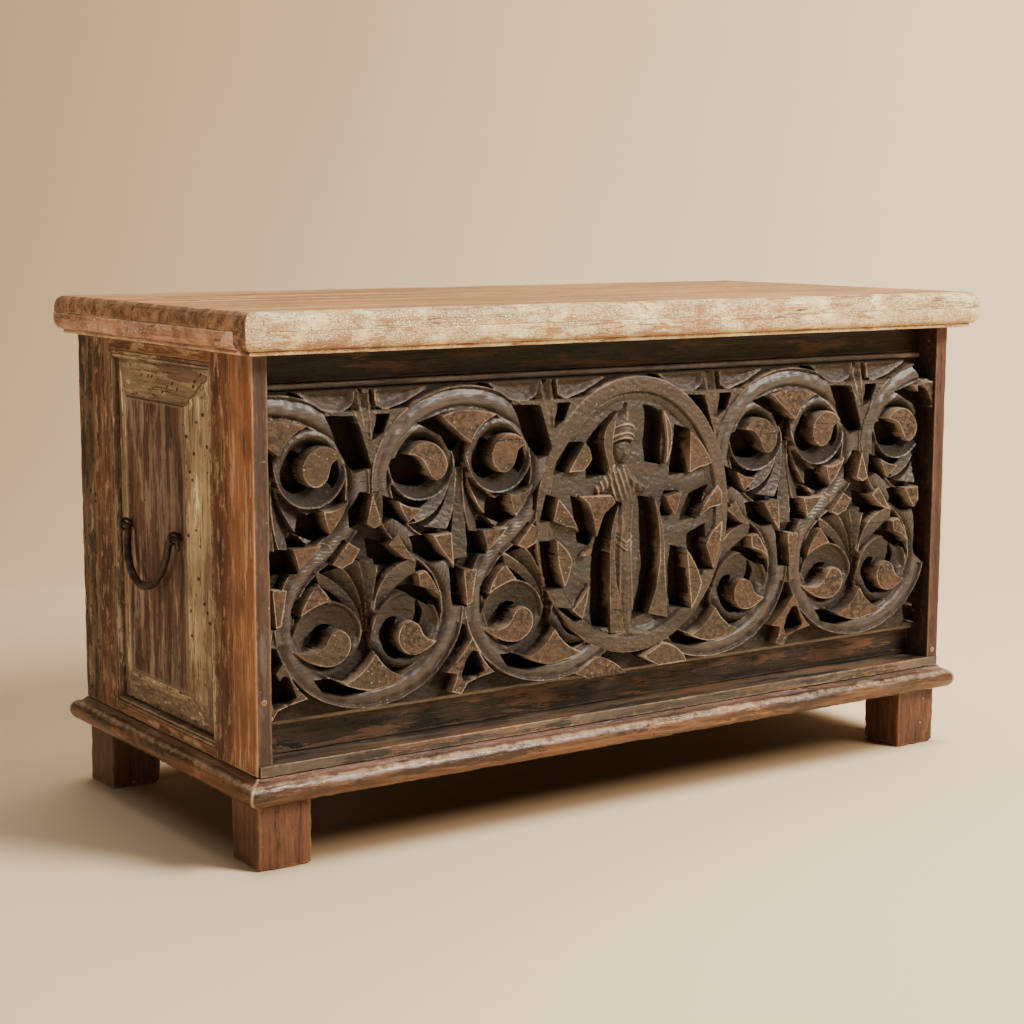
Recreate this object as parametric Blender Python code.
# Storage chest: a framed oak carcass on four block feet, with a deeply carved front made of two planks,
# fielded side panels that carry wrought bail handles, and a thick two-layer lid on butt hinges.
# Metres, +Z up. The origin is on the floor under the middle of the lid, and the front faces -Y.

import math

import bmesh
import bpy
from mathutils import Matrix, Vector

# Carcass over its posts, and the air between pieces that touch
BODY_WIDTH = 1.050
BODY_DEPTH = 0.4725
CARCASS_HEIGHT = 0.466
GAP = 0.0003
OVERRUN = 0.004
EDGE_WEAR = 0.0012

# Feet
FOOT_WIDTH = 0.067
FOOT_HEIGHT = 0.0775
FOOT_INSET = 0.0018
FOOT_WEAR = 0.004

# Plinth frame: a mitred moulding with a round nose under a sloping fillet
PLINTH_HEIGHT = 0.031
PLINTH_OVERHANG = 0.0174
PLINTH_LEDGE = 0.070
NOSE_DEPTH = 0.0115
NOSE_HEIGHT = 0.026
NOSE_STEPS = 6

# Posts, stiles and rails
POST_FACE = 0.0195
FRONT_POST_SIDE = 0.056
BACK_POST_SIDE = 0.045
FRONT_STILE_WIDTH = 0.0440
BACK_STILE_WIDTH = 0.0495
SIDE_TOP_RAIL = 0.0145
SIDE_BOTTOM_RAIL = 0.0115
TENON_LENGTH = 0.010
TENON_THICKNESS = 0.009
TENON_SHOULDER = 0.004
GROOVE_WIDTH = 0.007
GROOVE_DEPTH = 0.005

# Side panels: a tongue all round, a wide bevel and a raised field
MOULDING_WIDTH = 0.0105
MOULDING_DEPTH = 0.008
FIELD_RISE = 0.006
BEVEL_SIDE = 0.050
BEVEL_END = 0.0435

# Front frame
FRONT_RAIL_SETBACK = 0.033
FRONT_RAIL_THICKNESS = 0.021
TOP_RAIL_HEIGHT = 0.035
TOP_BEAD_HEIGHT = 0.0085
BEAD_SETBACK = 0.0315
BEAD_ROUND = 0.003
SILL_HEIGHT = 0.0125
SILL_LIP = 0.0025
SILL_END_INSET = 0.003
BOTTOM_RAIL_SETBACK = 0.038
BOTTOM_RAIL_HEIGHT = 0.0335
BOTTOM_BEAD_HEIGHT = 0.0080
BEAD_STEPS = 5

# Carved front: two planks, one above the other
PLANK_FRONT = 0.0285
PLANK_BACK = 0.052
UPPER_PLANK_SHARE = 0.590
RELIEF_FRONT = 0.004
RELIEF_ROOT = 0.006

# Wave-shaped stalk of the carving, in lobes above and below the middle of the panel
LOBE_COUNT = 9
LOBE_PITCH_SHARE = 0.1236
LOBE_WIDTH_SHARE = 0.1088
LOBE_HEIGHT_SHARE = 0.2505
LOBE_RISE_SHARE = 0.2063
STALK_WIDTH = 0.020
STALK_DROP = 0.0065
STALK_STEPS = 9

# Volutes of the carving: a round cup with a comma-shaped knob in it
VOLUTE_RADIUS = 0.042
VOLUTE_LIP = 0.007
VOLUTE_DROP = 0.0105
VOLUTE_SPREAD = 0.051
VOLUTE_OFFSET = 0.022
VOLUTE_SIDES = 12
KNOB_RADIUS = 0.0195
KNOB_TAIL = 0.036
KNOB_TAIL_RISE = 0.014
KNOB_SIDES = 10

# Leaves of the carving
LEAF_WIDTH = 0.040
LEAF_LENGTH = 0.034
LEAF_DROP = 0.0035
BORDER_LEAF_LENGTH = 0.068
BORDER_LEAF_DROP = 0.007

# Middle medallion and its standing figure
MEDALLION_WIDTH = 0.297
MEDALLION_HEIGHT = 0.342
MEDALLION_RISE = 0.0095
MEDALLION_BAND = 0.021
MEDALLION_DROP = 0.0022
MEDALLION_SIDES = 36
FIGURE_HEIGHT = 0.292
FIGURE_WIDTH = 0.056
FIGURE_LIFT = 0.016
FIGURE_DROP = 0.0050
HEAD_WIDTH = 0.040
HEAD_HEIGHT = 0.052
HAT_HEIGHT = 0.030
SHOULDER_SHARE = 0.68
MANTLE_WIDTH = 0.011
MANTLE_REACH = 0.040
MANTLE_DROP = 0.0065
MANTLE_ROOT_SHARE = 0.35
MANTLE_TURN_SHARE = 0.45
FIGURE_SIDES = 12

# Back and floor boards
BOARD_THICKNESS = 0.016
BACK_SETBACK = 0.003
BACK_RAIL_HEIGHT = 0.060
BACK_BOARD_COUNT = 2
FLOOR_THICKNESS = 0.012
FLOOR_BOARD_COUNT = 3

# Lid: lengthwise boards over a frame, both with a rounded outer edge
LID_SIDE_OVERHANG = 0.024
LID_FRONT_OVERHANG = 0.0348
LID_BACK_OVERHANG = 0.0178
LID_FRAME_THICKNESS = 0.0255
LID_BOARD_THICKNESS = 0.0212
LID_TOP_ROUND = 0.013
LID_BOTTOM_ROUND_WIDTH = 0.008
LID_BOTTOM_ROUND_HEIGHT = 0.012
LID_BEAD_HEIGHT = 0.005
LID_BEAD_INSET = 0.001
LID_LIP_WIDTH = 0.0150
LID_BOARD_SHARES = (0.0, 0.151, 0.339, 0.539, 0.794, 1.0)
LID_FRAME_WIDTH = 0.090
LID_FRONT_END_WIDTH = 0.030
LID_ROUND_STEPS = 4

# Hinges: two butt hinges let into the back rail and the lid
HINGE_SPREAD_SHARE = 0.648
HINGE_LENGTH = 0.070
LEAF_THICKNESS = 0.002
LEAF_DEPTH = 0.018
KNUCKLE_RADIUS = 0.004
HINGE_PIN_RADIUS = 0.002
HINGE_PIN_HEAD = 0.0015
KNUCKLE_SIDES = 12
PIN_SIDES = 8

# Bail handles and their eyes
BAIL_HEIGHT = 0.355
BAIL_SPAN = 0.135
BAIL_DROP = 0.064
BAIL_BOW = 0.009
BAIL_RADIUS = 0.0052
BAIL_PIN_RADIUS = 0.0040
BAIL_PIN_END = 0.014
BAIL_BEND = 0.009
BAIL_BEND_STEPS = 3
BAIL_STEPS = 14
EYE_WIRE = 0.0021
EYE_SIDES = 12
WIRE_SIDES = 8
SHANK_RADIUS = 0.0028

# Pegs that show on the front posts
PEG_RADIUS = 0.0035
PEG_LENGTH = 0.014
PEG_SIDES = 10
LEFT_PEG_HEIGHT = 0.193
RIGHT_PEG_HEIGHT = 0.131

# Sizes worked out from the ones above
HALF_WIDTH = BODY_WIDTH / 2
LID_DEPTH = LID_FRONT_OVERHANG + BODY_DEPTH + LID_BACK_OVERHANG
FRONT = LID_FRONT_OVERHANG - LID_DEPTH / 2
BACK = FRONT + BODY_DEPTH
MIDDLE = (FRONT + BACK) / 2
INNER_HALF = HALF_WIDTH - POST_FACE
HINGE_SPREAD = BODY_WIDTH * HINGE_SPREAD_SHARE
PLINTH_BOTTOM = FOOT_HEIGHT + GAP
PLINTH_TOP = PLINTH_BOTTOM + PLINTH_HEIGHT
CARCASS_BOTTOM = PLINTH_TOP + GAP
CARCASS_TOP = CARCASS_BOTTOM + CARCASS_HEIGHT
LID_BOTTOM = CARCASS_TOP + GAP
LID_MIDDLE = LID_BOTTOM + LID_FRAME_THICKNESS
LID_BOARD_BOTTOM = LID_MIDDLE + GAP
LID_TOP = LID_BOARD_BOTTOM + LID_BOARD_THICKNESS
SILL_TOP = CARCASS_BOTTOM + SILL_HEIGHT
BOTTOM_RAIL_TOP = SILL_TOP + GAP + BOTTOM_RAIL_HEIGHT
BOTTOM_BEAD_TOP = BOTTOM_RAIL_TOP + GAP + BOTTOM_BEAD_HEIGHT
TOP_BEAD_BOTTOM = CARCASS_TOP - TOP_RAIL_HEIGHT - GAP - TOP_BEAD_HEIGHT
PANEL_BOTTOM = BOTTOM_BEAD_TOP + GAP
PANEL_TOP = TOP_BEAD_BOTTOM - GAP
PANEL_HALF = INNER_HALF - GAP
PANEL_MIDDLE = (PANEL_BOTTOM + PANEL_TOP) / 2
PANEL_HEIGHT = PANEL_TOP - PANEL_BOTTOM
SEAM_HEIGHT = PANEL_TOP - PANEL_HEIGHT * UPPER_PLANK_SHARE
SIDE_FRONT = FRONT + FRONT_POST_SIDE + GAP
SIDE_BACK = BACK - BACK_POST_SIDE - GAP
OPENING_FRONT = SIDE_FRONT + FRONT_STILE_WIDTH
OPENING_BACK = SIDE_BACK - BACK_STILE_WIDTH
OPENING_BOTTOM = CARCASS_BOTTOM + SIDE_BOTTOM_RAIL
OPENING_TOP = CARCASS_TOP - SIDE_TOP_RAIL
OPENING_MIDDLE = (OPENING_FRONT + OPENING_BACK) / 2
BOARD_BACK = BACK - BACK_SETBACK
LID_LEFT = HALF_WIDTH + LID_SIDE_OVERHANG
LID_FRONT = FRONT - LID_FRONT_OVERHANG
LID_BACK = BACK + LID_BACK_OVERHANG
HINGE_AXIS_Y = BACK + KNUCKLE_RADIUS + GAP
HINGE_AXIS_Z = CARCASS_TOP + GAP / 2
EYE_RADIUS = BAIL_PIN_RADIUS + GAP + EYE_WIRE
BAIL_AXIS_X = HALF_WIDTH + FIELD_RISE + GAP + EYE_WIRE + EYE_RADIUS

# Colours as red, green, blue; then roughness and metallic
FINISHES = {
    "brown_oak": ((0.150, 0.068, 0.036), 0.60, 0.0),
    "dark_oak": ((0.045, 0.030, 0.022), 0.55, 0.0),
    "carved_oak": ((0.085, 0.052, 0.036), 0.60, 0.0),
    "streaked_paint": ((0.165, 0.085, 0.060), 0.70, 0.0),
    "yellow_paint": ((0.230, 0.165, 0.085), 0.70, 0.0),
    "inner_pine": ((0.330, 0.220, 0.130), 0.75, 0.0),
    "lid_top_oak": ((0.480, 0.310, 0.190), 0.60, 0.0),
    "lid_edge_paint": ((0.560, 0.420, 0.280), 0.65, 0.0),
    "wrought_iron": ((0.030, 0.027, 0.025), 0.50, 0.9),
}


# Scene and object helpers

def clear_scene():
    for item in list(bpy.data.objects):
        bpy.data.objects.remove(item, do_unlink=True)


def finish(item, kind):
    colour, roughness, metallic = FINISHES[kind]
    material = bpy.data.materials.new(item.name + "_finish")
    material.use_nodes = True
    shader = material.node_tree.nodes["Principled BSDF"]
    shader.inputs["Base Color"].default_value = (*colour, 1.0)
    shader.inputs["Roughness"].default_value = roughness
    shader.inputs["Metallic"].default_value = metallic
    item.data.materials.clear()
    item.data.materials.append(material)
    return item


def object_from(name, mesh_data):
    # Puts the object's origin in the middle of its mesh, unless a joint moves it later
    mesh_data.normal_update()
    bmesh.ops.recalc_face_normals(mesh_data, faces=mesh_data.faces)
    corners = [vertex.co for vertex in mesh_data.verts]
    low = Vector([min(corner[axis] for corner in corners) for axis in range(3)])
    high = Vector([max(corner[axis] for corner in corners) for axis in range(3)])
    middle = (low + high) / 2
    bmesh.ops.translate(mesh_data, verts=mesh_data.verts, vec=-middle)
    mesh = bpy.data.meshes.new(name)
    mesh_data.to_mesh(mesh)
    mesh_data.free()
    item = bpy.data.objects.new(name, mesh)
    item.location = middle
    bpy.context.scene.collection.objects.link(item)
    return item


def add_prism(mesh_data, outline, axis, low, high):
    # The outline lies in the two other axes, in the order X, Y, Z without the extruded one
    def corner(point, along):
        coords = list(point)
        coords.insert(axis, along)
        return mesh_data.verts.new(coords)
    bottom = [corner(point, low) for point in outline]
    top = [corner(point, high) for point in outline]
    add_loft(mesh_data, [bottom, top])


def add_loft(mesh_data, loops):
    # Joins closed loops of vertices one after the other and closes both ends
    mesh_data.faces.new(loops[0])
    mesh_data.faces.new(list(reversed(loops[-1])))
    count = len(loops[0])
    for lower, upper in zip(loops, loops[1:]):
        for index in range(count):
            after = (index + 1) % count
            mesh_data.faces.new((lower[index], upper[index], upper[after], lower[after]))


def join_rings(mesh_data, rings):
    # Joins closed loops of vertices one after the other, and the last to the first
    count = len(rings[0])
    for index, ring in enumerate(rings):
        following = rings[(index + 1) % len(rings)]
        for corner in range(count):
            after = (corner + 1) % count
            mesh_data.faces.new((ring[corner], following[corner], following[after], ring[after]))


def prism(name, outline, axis, low, high):
    mesh_data = bmesh.new()
    add_prism(mesh_data, outline, axis, low, high)
    return object_from(name, mesh_data)


def rectangle(low_a, high_a, low_b, high_b):
    return [(low_a, low_b), (high_a, low_b), (high_a, high_b), (low_a, high_b)]


def block(name, x_span, y_span, z_span):
    return prism(name, rectangle(*x_span, *y_span), 2, *z_span)


def wear_edges(item, width):
    bevel = item.modifiers.new("worn_edges", "BEVEL")
    bevel.width = width
    bevel.segments = 1
    bevel.limit_method = "ANGLE"
    return item


def hide_cutter(item):
    item.hide_render = True
    item.display_type = "WIRE"
    return item


def cut(item, cutters, operation="DIFFERENCE"):
    for cutter in cutters:
        hide_cutter(cutter)
        cutter.parent = item
        cutter.matrix_parent_inverse = Matrix.Translation(-item.location)
        boolean = item.modifiers.new(cutter.name, "BOOLEAN")
        boolean.operation = operation
        boolean.solver = "EXACT"
        boolean.object = cutter
    return item


def round_off(item, angle=math.radians(40)):
    item.data.shade_smooth()
    item.data.set_sharp_from_angle(angle=angle)
    return item


def circle(radius, sides, centre=(0, 0), turn_share=0.0):
    angles = [math.tau * (step + turn_share) / sides for step in range(sides)]
    return [(centre[0] + radius * math.cos(angle), centre[1] + radius * math.sin(angle)) for angle in angles]


def arc(centre, radius_a, radius_b, start, end, steps):
    angles = [start + (end - start) * step / steps for step in range(steps + 1)]
    return [(centre[0] + radius_a * math.cos(angle), centre[1] + radius_b * math.sin(angle))
            for angle in angles]


def side_name(side):
    return "left" if side < 0 else "right"


# Feet and plinth

def build_feet():
    centre_x = HALF_WIDTH - FOOT_INSET - FOOT_WIDTH / 2
    centre_y = BODY_DEPTH / 2 - FOOT_INSET - FOOT_WIDTH / 2
    for end, end_name in ((-1, "front"), (1, "back")):
        for side in (-1, 1):
            name = f"foot_{end_name}_{side_name(side)}"
            x_middle = side * centre_x
            y_middle = MIDDLE + end * centre_y
            foot = block(name, (x_middle - FOOT_WIDTH / 2, x_middle + FOOT_WIDTH / 2),
                         (y_middle - FOOT_WIDTH / 2, y_middle + FOOT_WIDTH / 2), (0, FOOT_HEIGHT))
            wear_edges(foot, FOOT_WEAR)
            finish(foot, "brown_oak")


def plinth_profile():
    # Offset outwards from the carcass face, and height
    nose_middle = PLINTH_BOTTOM + NOSE_HEIGHT / 2
    nose_start = PLINTH_OVERHANG - NOSE_DEPTH
    nose = arc((nose_start, nose_middle), NOSE_DEPTH, NOSE_HEIGHT / 2, -math.pi / 2, math.pi / 2, NOSE_STEPS)
    return [(-PLINTH_LEDGE, PLINTH_BOTTOM)] + nose + [(0, PLINTH_TOP), (-PLINTH_LEDGE, PLINTH_TOP)]


def build_plinth():
    # Each length ends in a mitre, so a point's reach along the length grows with its offset
    profile = plinth_profile()
    mitre_gap = GAP / 2 * math.sqrt(2)
    for name, along_x, sign in (("plinth_front", True, -1), ("plinth_back", True, 1),
                                ("plinth_left", False, -1), ("plinth_right", False, 1)):
        mesh_data = bmesh.new()
        loops = []
        for end in (-1, 1):
            loop = []
            for offset, height in profile:
                if along_x:
                    x_place = end * (HALF_WIDTH + offset - mitre_gap)
                    y_place = MIDDLE + sign * (BODY_DEPTH / 2 + offset)
                else:
                    x_place = sign * (HALF_WIDTH + offset)
                    y_place = MIDDLE + end * (BODY_DEPTH / 2 + offset - mitre_gap)
                loop.append(mesh_data.verts.new((x_place, y_place, height)))
            loops.append(loop)
        add_loft(mesh_data, loops)
        finish(round_off(object_from(name, mesh_data)), "brown_oak")


# Posts with mortises for the rails

def tenon_spans(y_span, z_span):
    # The tenon lies in the middle of its rail's thickness, with a shoulder above and below
    middle = sum(y_span) / 2
    return ((middle - TENON_THICKNESS / 2, middle + TENON_THICKNESS / 2),
            (z_span[0] + TENON_SHOULDER, z_span[1] - TENON_SHOULDER))


def mortise(name, side, rail_spans):
    y_span, z_span = tenon_spans(*rail_spans)
    x_span = sorted((side * (INNER_HALF - OVERRUN), side * (INNER_HALF + TENON_LENGTH + GAP)))
    return block(name, x_span, (y_span[0] - GAP, y_span[1] + GAP), (z_span[0] - GAP, z_span[1] + GAP))


def front_top_rail_spans():
    y_low = FRONT + FRONT_RAIL_SETBACK
    return (y_low, y_low + FRONT_RAIL_THICKNESS), (CARCASS_TOP - TOP_RAIL_HEIGHT, CARCASS_TOP)


def front_bottom_rail_spans():
    y_low = FRONT + BOTTOM_RAIL_SETBACK
    y_high = FRONT + FRONT_RAIL_SETBACK + FRONT_RAIL_THICKNESS
    return (y_low, y_high), (SILL_TOP + GAP, BOTTOM_RAIL_TOP)


def back_rail_spans(top):
    if top:
        return (BOARD_BACK - FRONT_RAIL_THICKNESS, BACK), (CARCASS_TOP - BACK_RAIL_HEIGHT, CARCASS_TOP)
    return (BOARD_BACK - FRONT_RAIL_THICKNESS, BACK), (CARCASS_BOTTOM, CARCASS_BOTTOM + BACK_RAIL_HEIGHT)


def peg_place(side):
    height = LEFT_PEG_HEIGHT if side < 0 else RIGHT_PEG_HEIGHT
    return side * (HALF_WIDTH - POST_FACE / 2), height


def peg_hole(side):
    x_middle, height = peg_place(side)
    outline = circle(PEG_RADIUS + GAP, PEG_SIDES, (x_middle, height))
    return prism(f"peg_hole_{side_name(side)}", outline, 1, FRONT - OVERRUN, FRONT + PEG_LENGTH + GAP)


def build_posts():
    for side in (-1, 1):
        x_span = sorted((side * INNER_HALF, side * HALF_WIDTH))
        z_span = (CARCASS_BOTTOM, CARCASS_TOP)
        label = side_name(side)
        front = block(f"post_front_{label}", x_span, (FRONT, FRONT + FRONT_POST_SIDE), z_span)
        wear_edges(front, EDGE_WEAR)
        cut(front, [mortise(f"mortise_front_top_{label}", side, front_top_rail_spans()),
                    mortise(f"mortise_front_bottom_{label}", side, front_bottom_rail_spans()),
                    peg_hole(side)])
        finish(front, "brown_oak")
        back = block(f"post_back_{label}", x_span, (BACK - BACK_POST_SIDE, BACK), z_span)
        wear_edges(back, EDGE_WEAR)
        cut(back, [mortise(f"mortise_back_top_{label}", side, back_rail_spans(True)),
                   mortise(f"mortise_back_bottom_{label}", side, back_rail_spans(False))])
        finish(back, "dark_oak")


def build_pegs():
    for side in (-1, 1):
        x_middle, height = peg_place(side)
        outline = circle(PEG_RADIUS, PEG_SIDES, (x_middle, height))
        peg = prism(f"post_peg_{side_name(side)}", outline, 1, FRONT - GAP, FRONT + PEG_LENGTH)
        finish(peg, "brown_oak")


# Rails of the front and back, with a tenon at each end

def tenoned_rail(name, y_span, z_span, wear):
    rail = wear_edges(block(name, (-INNER_HALF + GAP, INNER_HALF - GAP), y_span, z_span), wear)
    tip = INNER_HALF + TENON_LENGTH
    return cut(rail, [block(name + "_tenons", (-tip, tip), *tenon_spans(y_span, z_span))], "UNION")


def build_front_rails():
    finish(tenoned_rail("front_top_rail", *front_top_rail_spans(), EDGE_WEAR), "dark_oak")
    finish(tenoned_rail("front_bottom_rail", *front_bottom_rail_spans(), EDGE_WEAR), "dark_oak")


def bead(name, front_y, back_y, z_span):
    # A strip whose front face is half round
    middle = sum(z_span) / 2
    half = (z_span[1] - z_span[0]) / 2
    nose = arc((front_y + BEAD_ROUND, middle), -BEAD_ROUND, half, -math.pi / 2, math.pi / 2, BEAD_STEPS)
    outline = nose + [(back_y, z_span[1]), (back_y, z_span[0])]
    return round_off(prism(name, outline, 0, -PANEL_HALF, PANEL_HALF))


def build_beads():
    front_y = FRONT + BEAD_SETBACK
    back_y = FRONT + FRONT_RAIL_SETBACK + FRONT_RAIL_THICKNESS
    top = bead("front_top_bead", front_y, back_y, (TOP_BEAD_BOTTOM, TOP_BEAD_BOTTOM + TOP_BEAD_HEIGHT))
    bottom = bead("front_bottom_bead", front_y, back_y, (BOTTOM_RAIL_TOP + GAP, BOTTOM_BEAD_TOP))
    for item in (top, bottom):
        finish(item, "dark_oak")


def build_sill():
    # Lies between the posts, with a thin lip that runs across their feet
    back_y = FRONT + FRONT_RAIL_SETBACK + FRONT_RAIL_THICKNESS
    lip_half = HALF_WIDTH - SILL_END_INSET
    z_span = (CARCASS_BOTTOM, SILL_TOP)
    sill = block("front_sill", (-lip_half, lip_half), (FRONT - SILL_LIP, back_y), z_span)
    wear_edges(sill, EDGE_WEAR)
    notches = []
    for side in (-1, 1):
        x_span = sorted((side * PANEL_HALF, side * (HALF_WIDTH + OVERRUN)))
        y_span = (FRONT - GAP, back_y + OVERRUN)
        notch_z = (CARCASS_BOTTOM - OVERRUN, SILL_TOP + OVERRUN)
        notches.append(block(f"sill_notch_{side_name(side)}", x_span, y_span, notch_z))
    finish(cut(sill, notches), "dark_oak")


def hinge_middles():
    return (-HINGE_SPREAD / 2, HINGE_SPREAD / 2)


def leaf_recess(name, z_span):
    mesh_data = bmesh.new()
    for middle in hinge_middles():
        half = HINGE_LENGTH / 2 + GAP
        outline = rectangle(middle - half, middle + half, BACK - LEAF_DEPTH - GAP, BACK + OVERRUN)
        add_prism(mesh_data, outline, 2, *z_span)
    return object_from(name, mesh_data)


def build_back():
    top = tenoned_rail("back_top_rail", *back_rail_spans(True), EDGE_WEAR)
    recess_low = HINGE_AXIS_Z - GAP - LEAF_THICKNESS - GAP
    cut(top, [leaf_recess("rail_leaf_recess", (recess_low, CARCASS_TOP + OVERRUN))])
    bottom = tenoned_rail("back_bottom_rail", *back_rail_spans(False), EDGE_WEAR)
    for rail in (top, bottom):
        finish(rail, "brown_oak")
    low = CARCASS_BOTTOM + BACK_RAIL_HEIGHT + GAP
    high = CARCASS_TOP - BACK_RAIL_HEIGHT - GAP
    pitch = (high - low + GAP) / BACK_BOARD_COUNT
    for index in range(BACK_BOARD_COUNT):
        z_low = low + pitch * index
        board = block(f"back_board_{index + 1}", (-PANEL_HALF, PANEL_HALF),
                      (BOARD_BACK - BOARD_THICKNESS, BOARD_BACK), (z_low, z_low + pitch - GAP))
        finish(wear_edges(board, EDGE_WEAR), "inner_pine")


# Sides: stiles and rails grooved for a fielded panel, with a moulding round the opening

def groove_reach():
    # Start and end of the groove's width, inwards from the face of the frame
    return MOULDING_DEPTH + GAP, MOULDING_DEPTH + GAP + GROOVE_WIDTH


def groove(name, side, inner, outer, along_z):
    # Runs along the edge that faces the opening
    toward = 1 if outer > inner else -1
    x_span = sorted(side * (HALF_WIDTH - reach) for reach in groove_reach())
    across = sorted((inner - toward * OVERRUN, inner + toward * GROOVE_DEPTH))
    if along_z:
        return block(name, x_span, across, (CARCASS_BOTTOM - OVERRUN, CARCASS_TOP + OVERRUN))
    return block(name, x_span, (OPENING_FRONT - OVERRUN, OPENING_BACK + OVERRUN), across)


def build_side_frame(side):
    label = side_name(side)
    x_span = sorted((side * INNER_HALF, side * HALF_WIDTH))
    members = (("side_stile_front", OPENING_FRONT, SIDE_FRONT, True),
               ("side_stile_back", OPENING_BACK, SIDE_BACK, True),
               ("side_top_rail", OPENING_TOP, CARCASS_TOP, False),
               ("side_bottom_rail", OPENING_BOTTOM, CARCASS_BOTTOM, False))
    for kind, inner, outer, along_z in members:
        name = f"{kind}_{label}"
        across = sorted((inner, outer))
        if along_z:
            member = block(name, x_span, across, (CARCASS_BOTTOM, CARCASS_TOP))
        else:
            member = block(name, x_span, (OPENING_FRONT + GAP, OPENING_BACK - GAP), across)
        wear_edges(member, EDGE_WEAR / 2)
        finish(cut(member, [groove(name + "_groove", side, inner, outer, along_z)]), "brown_oak")


def rectangle_loop(mesh_data, x_place, inset_y, inset_z):
    low_y = OPENING_FRONT + inset_y
    high_y = OPENING_BACK - inset_y
    low_z = OPENING_BOTTOM + inset_z
    high_z = OPENING_TOP - inset_z
    return [mesh_data.verts.new((x_place, y, z)) for y, z in rectangle(low_y, high_y, low_z, high_z)]


def eye_places():
    return [OPENING_MIDDLE - BAIL_SPAN / 2, OPENING_MIDDLE + BAIL_SPAN / 2]


def shank_holes(side):
    mesh_data = bmesh.new()
    x_span = sorted((side * (INNER_HALF - OVERRUN), side * (HALF_WIDTH + FIELD_RISE + OVERRUN)))
    for y_middle in eye_places():
        outline = circle(SHANK_RADIUS + GAP, WIRE_SIDES, (y_middle, BAIL_HEIGHT))
        add_prism(mesh_data, outline, 0, *x_span)
    return object_from(f"shank_holes_{side_name(side)}", mesh_data)


def build_side_panel(side):
    start, end = groove_reach()
    tongue = GROOVE_DEPTH - GAP
    face = side * HALF_WIDTH
    mesh_data = bmesh.new()
    loops = [rectangle_loop(mesh_data, face - side * (end - GAP), -tongue, -tongue),
             rectangle_loop(mesh_data, face - side * (start + GAP), -tongue, -tongue),
             rectangle_loop(mesh_data, face - side * (start + GAP), MOULDING_WIDTH, MOULDING_WIDTH),
             rectangle_loop(mesh_data, face + side * FIELD_RISE, MOULDING_WIDTH + BEVEL_SIDE,
                            MOULDING_WIDTH + BEVEL_END)]
    add_loft(mesh_data, loops)
    panel = object_from(f"side_panel_{side_name(side)}", mesh_data)
    cut(panel, [shank_holes(side)])
    finish(panel, "streaked_paint")


def build_side_moulding(side):
    # A glued frame of mitred strips with a rounded inner edge, in the opening in front of the panel
    face = side * HALF_WIDTH
    bed = side * (HALF_WIDTH - MOULDING_DEPTH)
    half = MOULDING_WIDTH / 2
    curve = arc((half, bed), half - GAP, face - bed, 0, math.pi / 2, BEAD_STEPS)
    profile = [(GAP, bed)] + curve + [(GAP, face)]
    mesh_data = bmesh.new()
    rings = [rectangle_loop(mesh_data, x_place, inset, inset) for inset, x_place in profile]
    join_rings(mesh_data, rings)
    finish(object_from(f"side_moulding_{side_name(side)}", mesh_data), "yellow_paint")


# Carving of the front, built as flat-topped shapes that rise from the planks

def relief_y(drop):
    return FRONT + RELIEF_FRONT + drop


def root_y():
    return FRONT + PLANK_FRONT + RELIEF_ROOT


def lobes():
    # Middle of each lobe of the stalk: distance from the middle of the chest, height, and up or down
    pitch = 2 * PANEL_HALF * LOBE_PITCH_SHARE
    rise = PANEL_HEIGHT * LOBE_RISE_SHARE
    places = []
    for index in range(LOBE_COUNT):
        step = index - (LOBE_COUNT - 1) // 2
        up = 1 if step % 2 == 0 else -1
        places.append((step * pitch, PANEL_MIDDLE + up * rise, up))
    return places


def stalk_path(side):
    # Elliptic arcs, each from the point midway to the lobe before to the point midway to the next
    half_a = 2 * PANEL_HALF * LOBE_WIDTH_SHARE
    half_b = PANEL_HEIGHT * LOBE_HEIGHT_SHARE
    places = lobes()
    middle_index = (LOBE_COUNT - 1) // 2
    chosen = places[:middle_index] if side < 0 else places[middle_index + 1:]
    pitch = places[1][0] - places[0][0]
    rise = 2 * PANEL_HEIGHT * LOBE_RISE_SHARE
    slant = math.atan2(rise / half_b, pitch / half_a)
    path = []
    for x_middle, z_middle, up in chosen:
        start = math.pi + slant
        end = -slant
        turn = arc((x_middle, z_middle), half_a, up * half_b, start, end, 2 * STALK_STEPS)
        path += turn if not path else turn[1:]
    limit = PANEL_HALF + STALK_WIDTH
    return [point for point in path if abs(point[0]) < limit]


def ribbon(name, path, width, drop):
    # A band of constant width along a path, its sides square to the planks
    mesh_data = bmesh.new()
    loops = []
    for index, point in enumerate(path):
        before = path[max(index - 1, 0)]
        after = path[min(index + 1, len(path) - 1)]
        along = Vector((after[0] - before[0], after[1] - before[1])).normalized()
        across = Vector((-along[1], along[0])) * width / 2
        left = (point[0] + across[0], point[1] + across[1])
        right = (point[0] - across[0], point[1] - across[1])
        corners = ((left, root_y()), (left, relief_y(drop)), (right, relief_y(drop)), (right, root_y()))
        loops.append([mesh_data.verts.new((place[0], y, place[1])) for place, y in corners])
    add_loft(mesh_data, loops)
    return object_from(name, mesh_data)


def relief_prism(name, outline, drop):
    return prism(name, outline, 1, relief_y(drop), root_y())


def relief_ring(name, centre, radius_a, radius_b, band, sides, drop):
    mesh_data = bmesh.new()
    loops = []
    for step in range(sides):
        angle = math.tau * step / sides
        across = Vector((math.cos(angle), math.sin(angle)))
        outer = (centre[0] + radius_a * across[0], centre[1] + radius_b * across[1])
        inner = (centre[0] + (radius_a - band) * across[0], centre[1] + (radius_b - band) * across[1])
        corners = ((outer, root_y()), (outer, relief_y(drop)), (inner, relief_y(drop)), (inner, root_y()))
        loops.append([mesh_data.verts.new((place[0], y, place[1])) for place, y in corners])
    join_rings(mesh_data, loops)
    return object_from(name, mesh_data)


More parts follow.
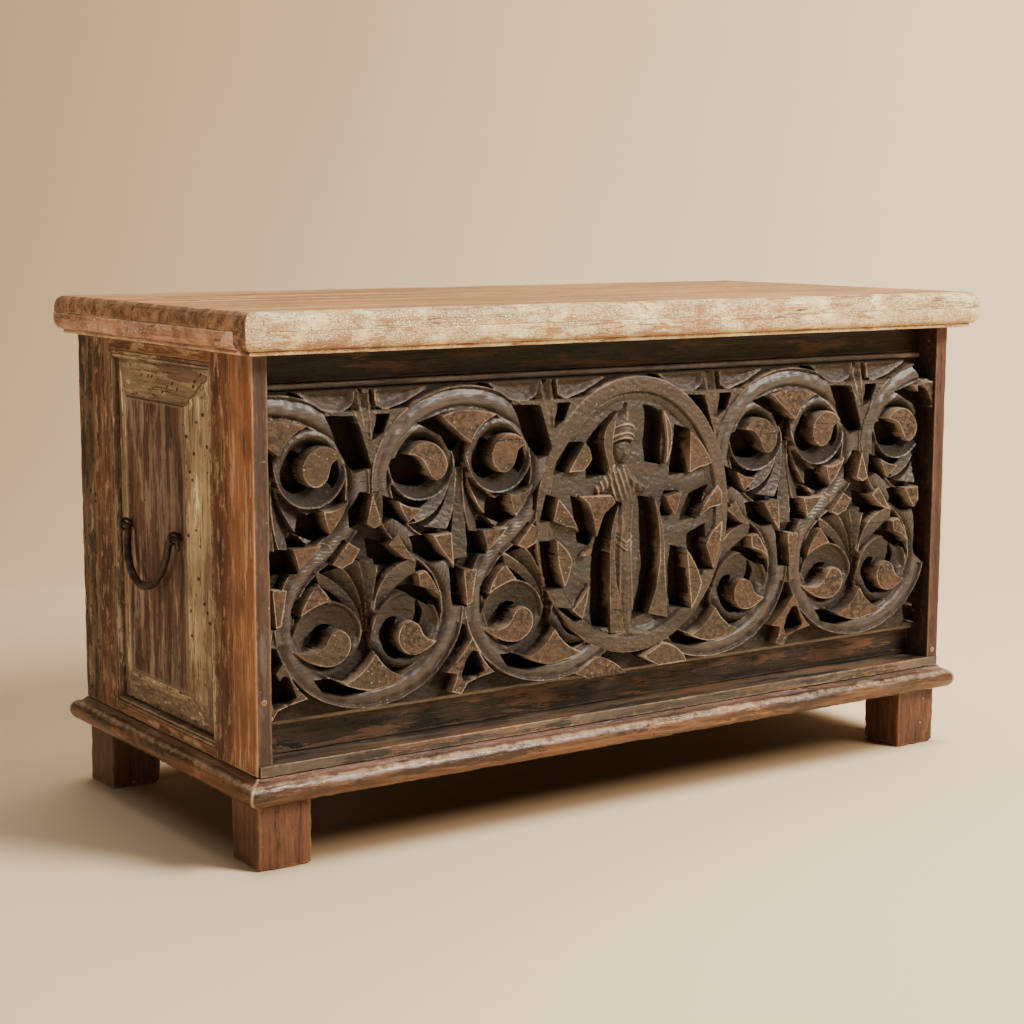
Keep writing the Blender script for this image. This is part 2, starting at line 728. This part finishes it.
def knob_outline(centre, hand, up):
    # A round head whose tail sweeps outwards to a point
    points = circle(KNOB_RADIUS, KNOB_SIDES, (0, 0), 0.5)
    tip_index = KNOB_SIDES // 4 - 1
    outline = []
    for index, (a, b) in enumerate(points):
        if index == tip_index:
            a, b = KNOB_TAIL, KNOB_TAIL_RISE
        outline.append((centre[0] + hand * a, centre[1] + up * b))
    return outline


def volute(label, x_middle, z_middle, hand, up):
    cup = relief_ring(f"cup_{label}", (x_middle, z_middle), VOLUTE_RADIUS, VOLUTE_RADIUS, VOLUTE_LIP,
                      VOLUTE_SIDES, VOLUTE_DROP)
    knob_x = x_middle + KNOB_RADIUS / 3
    knob = relief_prism(f"knob_{label}", knob_outline((knob_x, z_middle), hand, up), 0)
    return [cup, knob]


def leaf_outline(x_middle, z_base, z_tip):
    half = LEAF_WIDTH / 2
    return [(x_middle - half, z_base), (x_middle + half, z_base), (x_middle + half / 3, (z_base + z_tip) / 2),
            (x_middle, z_tip), (x_middle - half / 3, (z_base + z_tip) / 2)]


def motifs_of_lobes():
    pieces = []
    reach = PANEL_HALF - VOLUTE_RADIUS - OVERRUN
    clear_of_medallion = MEDALLION_WIDTH / 2 + VOLUTE_RADIUS / 2
    for index, (x_middle, z_middle, up) in enumerate(lobes()):
        if index == (LOBE_COUNT - 1) // 2:
            continue
        for hand in (-1, 1):
            x_volute = x_middle + hand * VOLUTE_SPREAD
            if clear_of_medallion < abs(x_volute) < reach:
                label = f"{index}_{side_name(hand)}"
                pieces += volute(label, x_volute, z_middle + up * VOLUTE_OFFSET / 2, hand, up)
        if clear_of_medallion < abs(x_middle) < reach:
            base = z_middle + up * (PANEL_HEIGHT * LOBE_HEIGHT_SHARE - STALK_WIDTH / 2)
            inner = leaf_outline(x_middle, base, base - up * LEAF_LENGTH)
            pieces.append(relief_prism(f"lobe_leaf_{index}", inner, LEAF_DROP))
            edge = PANEL_BOTTOM if up > 0 else PANEL_TOP
            border = leaf_outline(x_middle, edge, edge + up * BORDER_LEAF_LENGTH)
            pieces.append(relief_prism(f"border_leaf_{index}", border, BORDER_LEAF_DROP))
    return pieces


def figure_outline(z_low):
    # Half widths of the robe from hem to shoulder, as shares of its width, against shares of its height
    shares = ((0.0, 0.46), (0.10, 0.44), (0.45, 0.36), (0.62, 0.42), (0.72, 0.50), (0.77, 0.30))
    right = [(FIGURE_WIDTH * half_share, z_low + FIGURE_HEIGHT * share) for share, half_share in shares]
    left = [(-x, z) for x, z in reversed(right)]
    return right + left


def motifs_of_medallion():
    centre = (0, PANEL_MIDDLE + MEDALLION_RISE)
    ring = relief_ring("medallion_ring", centre, MEDALLION_WIDTH / 2, MEDALLION_HEIGHT / 2, MEDALLION_BAND,
                       MEDALLION_SIDES, MEDALLION_DROP)
    z_low = centre[1] - MEDALLION_HEIGHT / 2 + FIGURE_LIFT
    robe = relief_prism("figure_robe", figure_outline(z_low), FIGURE_DROP)
    head_z = z_low + FIGURE_HEIGHT - HAT_HEIGHT - HEAD_HEIGHT / 2
    head_outline = arc((0, head_z), HEAD_WIDTH / 2, HEAD_HEIGHT / 2, -math.pi, 0, FIGURE_SIDES // 2)
    hat_outline = [(HEAD_WIDTH / 2, head_z + HEAD_HEIGHT / 4), (0, z_low + FIGURE_HEIGHT),
                   (-HEAD_WIDTH / 2, head_z + HEAD_HEIGHT / 4)]
    head = relief_prism("figure_head", head_outline + hat_outline, FIGURE_DROP / 2)
    pieces = [ring, robe, head]
    half_height = FIGURE_HEIGHT * SHOULDER_SHARE / 2
    turn = math.pi * MANTLE_TURN_SHARE
    for side in (-1, 1):
        root = (side * FIGURE_WIDTH * MANTLE_ROOT_SHARE, z_low + half_height)
        path = arc(root, side * MANTLE_REACH, half_height, -turn, turn, STALK_STEPS)
        pieces.append(ribbon(f"mantle_{side_name(side)}", path, MANTLE_WIDTH, MANTLE_DROP))
    return pieces


def build_carved_planks():
    motifs = motifs_of_lobes() + motifs_of_medallion()
    for side in (-1, 1):
        motifs.append(ribbon(f"stalk_{side_name(side)}", stalk_path(side), STALK_WIDTH, STALK_DROP))
    group = bpy.data.collections.new("relief_motifs")
    bpy.context.scene.collection.children.link(group)
    for motif in motifs:
        hide_cutter(motif)
        bpy.context.scene.collection.objects.unlink(motif)
        group.objects.link(motif)
    x_span = (-PANEL_HALF, PANEL_HALF)
    back_y = FRONT + PLANK_BACK
    spans = (("upper", (SEAM_HEIGHT + GAP / 2, PANEL_TOP)), ("lower", (PANEL_BOTTOM, SEAM_HEIGHT - GAP / 2)))
    for end, z_span in spans:
        plank = block(f"carved_plank_{end}", x_span, (FRONT + PLANK_FRONT, back_y), z_span)
        union = plank.modifiers.new("relief", "BOOLEAN")
        union.operation = "UNION"
        union.solver = "EXACT"
        union.operand_type = "COLLECTION"
        union.collection = group
        trim = block(f"plank_trim_{end}", x_span, (FRONT - OVERRUN, back_y), z_span)
        cut(plank, [trim], "INTERSECT")
        finish(plank, "carved_oak")


# Floor boards, whose ends lie on the plinth's ledge

def build_floor():
    y_low = FRONT + FRONT_RAIL_SETBACK + FRONT_RAIL_THICKNESS + GAP
    y_high = BOARD_BACK - FRONT_RAIL_THICKNESS - GAP
    pitch = (y_high - y_low + GAP) / FLOOR_BOARD_COUNT
    for index in range(FLOOR_BOARD_COUNT):
        y_start = y_low + pitch * index
        board = block(f"floor_board_{index + 1}", (-PANEL_HALF, PANEL_HALF), (y_start, y_start + pitch - GAP),
                      (CARCASS_BOTTOM, CARCASS_BOTTOM + FLOOR_THICKNESS))
        finish(wear_edges(board, EDGE_WEAR), "inner_pine")


# Lid

def lid_edge(top):
    # Inset from the outermost line of the lid, and height, from the middle joint outwards
    quarter = math.pi / 2
    if top:
        centre = (LID_TOP_ROUND, LID_TOP - LID_TOP_ROUND)
        curve = arc(centre, -LID_TOP_ROUND, LID_TOP_ROUND, 0, quarter, LID_ROUND_STEPS)
        return [(0, LID_BOARD_BOTTOM)] + curve
    round_low = LID_BOTTOM + LID_BEAD_HEIGHT
    centre = (LID_BOTTOM_ROUND_WIDTH, round_low + LID_BOTTOM_ROUND_HEIGHT)
    curve = arc(centre, -LID_BOTTOM_ROUND_WIDTH, -LID_BOTTOM_ROUND_HEIGHT, 0, quarter, LID_ROUND_STEPS)
    bead_inset = LID_BOTTOM_ROUND_WIDTH + LID_BEAD_INSET
    return [(0, LID_MIDDLE)] + curve + [(bead_inset, round_low), (bead_inset, LID_BOTTOM)]


def lid_section(low, high, top):
    # Outline of the whole layer across the lid between two outermost lines
    edge = lid_edge(top)
    left = [(low + inset, height) for inset, height in edge]
    right = [(high - inset, height) for inset, height in reversed(edge)]
    return left + right


def lid_piece(name, top, x_span, y_span):
    # A layer's full section along Y, cut to its place, and rounded at the front or back by a second section
    item = prism(name, lid_section(-LID_LEFT, LID_LEFT, top), 1, *y_span)
    cutters = []
    z_span = (LID_BOTTOM - OVERRUN, LID_TOP + OVERRUN)
    if y_span[0] <= LID_FRONT or y_span[1] >= LID_BACK:
        section = lid_section(LID_FRONT, LID_BACK, top)
        reach = LID_LEFT + OVERRUN
        cutters.append(prism(f"{name}_section", section, 0, -reach, reach))
    if x_span is not None:
        cutters.append(block(f"{name}_place", x_span, (y_span[0] - OVERRUN, y_span[1] + OVERRUN), z_span))
    return cut(item, cutters, "INTERSECT")


def lid_lip_back():
    return LID_FRONT + LID_LIP_WIDTH


def build_lid_boards():
    lip = lid_piece("lid_front_lip", True, None, (LID_FRONT, lid_lip_back() - GAP))
    pieces = [finish(lip, "lid_edge_paint")]
    depth = LID_BACK - lid_lip_back()
    for index, (low_share, high_share) in enumerate(zip(LID_BOARD_SHARES, LID_BOARD_SHARES[1:])):
        y_low = lid_lip_back() + depth * low_share
        y_high = lid_lip_back() + depth * high_share
        if index < len(LID_BOARD_SHARES) - 2:
            y_high -= GAP
        board = lid_piece(f"lid_board_{index + 1}", True, None, (y_low, y_high))
        pieces.append(finish(board, "lid_top_oak"))
    return pieces


def build_lid_frame():
    reach = LID_LEFT + OVERRUN
    inner_half = LID_LEFT - LID_FRAME_WIDTH
    front_end = LID_FRONT + LID_FRONT_END_WIDTH
    front = lid_piece("lid_frame_front", False, None, (LID_FRONT, LID_FRONT + LID_FRAME_WIDTH))
    notches = []
    for side in (-1, 1):
        x_span = sorted((side * inner_half, side * reach))
        y_span = (front_end, LID_FRONT + LID_FRAME_WIDTH + OVERRUN)
        notches.append(block(f"lid_notch_{side_name(side)}", x_span, y_span, (LID_BOTTOM - OVERRUN, LID_TOP)))
    pieces = [finish(cut(front, notches), "lid_edge_paint")]
    for side in (-1, 1):
        x_span = sorted((side * (inner_half + GAP), side * reach))
        y_span = (front_end + GAP, LID_BACK)
        member = lid_piece(f"lid_frame_{side_name(side)}", False, x_span, y_span)
        pieces.append(finish(member, "streaked_paint"))
    x_span = (-inner_half, inner_half)
    back = lid_piece("lid_frame_back", False, x_span, (LID_BACK - LID_FRAME_WIDTH, LID_BACK))
    recess = leaf_recess("lid_leaf_recess", (LID_BOTTOM - OVERRUN, HINGE_AXIS_Z + GAP + LEAF_THICKNESS + GAP))
    pockets = bmesh.new()
    clear = KNUCKLE_RADIUS + GAP
    for middle in hinge_middles():
        half = HINGE_LENGTH / 2 + HINGE_PIN_HEAD + GAP * 2
        outline = rectangle(middle - half, middle + half, HINGE_AXIS_Y - clear, HINGE_AXIS_Y + clear)
        add_prism(pockets, outline, 2, LID_BOTTOM - OVERRUN, HINGE_AXIS_Z + clear)
    cut(back, [recess, object_from("knuckle_pockets", pockets)])
    return pieces + [finish(back, "lid_edge_paint")]


# Hinges: the pin is riveted into the two outer knuckles, and the middle one turns on it

def hinge_leaf(name, middle, up, knuckle_spans):
    # A flat plate with a finger to each of its knuckles
    half = HINGE_LENGTH / 2
    front = BACK - LEAF_DEPTH
    back = BACK - GAP
    edge = [(middle - half, front), (middle + half, front), (middle + half, back)]
    for low, high in reversed(knuckle_spans):
        edge += [(middle + high, back), (middle + high, HINGE_AXIS_Y)]
        edge += [(middle + low, HINGE_AXIS_Y), (middle + low, back)]
    edge.append((middle - half, back))
    outline = list(dict.fromkeys(edge))
    z_span = sorted((HINGE_AXIS_Z + up * GAP, HINGE_AXIS_Z + up * (GAP + LEAF_THICKNESS)))
    leaf = prism(name, outline, 2, *z_span)
    section = circle(KNUCKLE_RADIUS, KNUCKLE_SIDES, (HINGE_AXIS_Y, HINGE_AXIS_Z))
    for index, (low, high) in enumerate(knuckle_spans):
        cut(leaf, [prism(f"{name}_knuckle_{index}", section, 0, middle + low, middle + high)], "UNION")
    return finish(leaf, "wrought_iron")


def build_hinges():
    half = HINGE_LENGTH / 2
    low_third = -half + HINGE_LENGTH / 3
    high_third = half - HINGE_LENGTH / 3
    lid_leaves = []
    for side, middle in zip((-1, 1), hinge_middles()):
        label = side_name(side)
        axis = (HINGE_AXIS_Y, HINGE_AXIS_Z)
        fixed = hinge_leaf(f"hinge_leaf_body_{label}", middle, -1,
                           ((-half, low_third - GAP / 2), (high_third + GAP / 2, half)))
        pin = prism(f"hinge_pin_{label}", circle(HINGE_PIN_RADIUS, PIN_SIDES, axis), 0,
                    middle - half - HINGE_PIN_HEAD, middle + half + HINGE_PIN_HEAD)
        cut(fixed, [pin], "UNION")
        moving = hinge_leaf(f"hinge_leaf_lid_{label}", middle, 1,
                            ((low_third + GAP / 2, high_third - GAP / 2),))
        bore = prism(f"hinge_bore_{label}", circle(HINGE_PIN_RADIUS + GAP, PIN_SIDES, axis), 0,
                     middle - half, middle + half)
        cut(moving, [bore])
        lid_leaves.append(moving)
    return lid_leaves


# Handles

def build_eyes(side):
    # Each is a ring of round bar on a shank that goes through the panel
    for end_name, y_middle in zip(("front", "back"), eye_places()):
        mesh_data = bmesh.new()
        rings = []
        for step in range(EYE_SIDES):
            angle = math.tau * step / EYE_SIDES
            outward = Vector((math.cos(angle), 0, math.sin(angle)))
            centre = Vector((side * BAIL_AXIS_X, y_middle, BAIL_HEIGHT)) + outward * EYE_RADIUS
            section = circle(EYE_WIRE, WIRE_SIDES)
            rings.append([mesh_data.verts.new(centre + outward * a + Vector((0, b, 0))) for a, b in section])
        join_rings(mesh_data, rings)
        name = f"handle_eye_{end_name}_{side_name(side)}"
        eye = object_from(name, mesh_data)
        x_span = sorted((side * (INNER_HALF + EYE_WIRE / 2), side * (BAIL_AXIS_X - EYE_RADIUS)))
        outline = circle(SHANK_RADIUS, WIRE_SIDES, (y_middle, BAIL_HEIGHT))
        cut(eye, [prism(name + "_shank", outline, 0, *x_span)], "UNION")
        finish(eye, "wrought_iron")


def bail_path():
    # Half of the bar, from its end outside the eye to the lowest point; X points outwards, then the radius
    eye = BAIL_SPAN / 2
    bend_end = eye - EYE_WIRE - GAP
    arm = bend_end - BAIL_BEND
    path = [(0, -eye - BAIL_PIN_END, 0, BAIL_PIN_RADIUS), (0, -bend_end, 0, BAIL_PIN_RADIUS)]
    bend = arc((-bend_end, -BAIL_BEND), BAIL_BEND, BAIL_BEND, math.pi / 2, 0, BAIL_BEND_STEPS)[1:]
    loop = arc((0, -BAIL_BEND), arm, BAIL_DROP - BAIL_BEND, math.pi, math.pi * 1.5, BAIL_STEPS // 2)[1:]
    path += [(-BAIL_BOW * z / BAIL_DROP, y, z, BAIL_RADIUS) for y, z in bend + loop]
    return path


def build_bail(side):
    label = side_name(side)
    curve_data = bpy.data.curves.new(f"handle_bail_{label}", "CURVE")
    curve_data.dimensions = "3D"
    curve_data.bevel_depth = 1.0
    curve_data.bevel_resolution = 2
    curve_data.use_fill_caps = True
    spline = curve_data.splines.new("POLY")
    half = bail_path()
    points = half + [(x, -y, z, radius) for x, y, z, radius in reversed(half[:-1])]
    spline.points.add(len(points) - 1)
    for target, (x, y, z, radius) in zip(spline.points, points):
        target.co = (side * x, y, z, 1)
        target.radius = radius
    bail = bpy.data.objects.new(f"handle_bail_{label}", curve_data)
    bpy.context.scene.collection.objects.link(bail)
    pivot = bpy.data.objects.new(f"handle_pivot_{label}", None)
    pivot.location = (side * BAIL_AXIS_X, OPENING_MIDDLE, BAIL_HEIGHT)
    bpy.context.scene.collection.objects.link(pivot)
    bail.parent = pivot
    finish(bail, "wrought_iron")


def hang_lid(items):
    # The lid's pieces hang on an empty that lies on the hinge axis
    hinge = bpy.data.objects.new("lid_hinge", None)
    hinge.location = (0, HINGE_AXIS_Y, HINGE_AXIS_Z)
    bpy.context.scene.collection.objects.link(hinge)
    for item in items:
        item.parent = hinge
        item.matrix_parent_inverse = Matrix.Translation(-hinge.location)


def build_chest():
    clear_scene()
    build_feet()
    build_plinth()
    build_posts()
    build_pegs()
    build_front_rails()
    build_beads()
    build_sill()
    build_back()
    for side in (-1, 1):
        build_side_frame(side)
        build_side_panel(side)
        build_side_moulding(side)
        build_eyes(side)
        build_bail(side)
    build_carved_planks()
    build_floor()
    lid_boards = build_lid_boards()
    lid_frame = build_lid_frame()
    lid_leaves = build_hinges()
    hang_lid(lid_boards + lid_frame + lid_leaves)


build_chest()
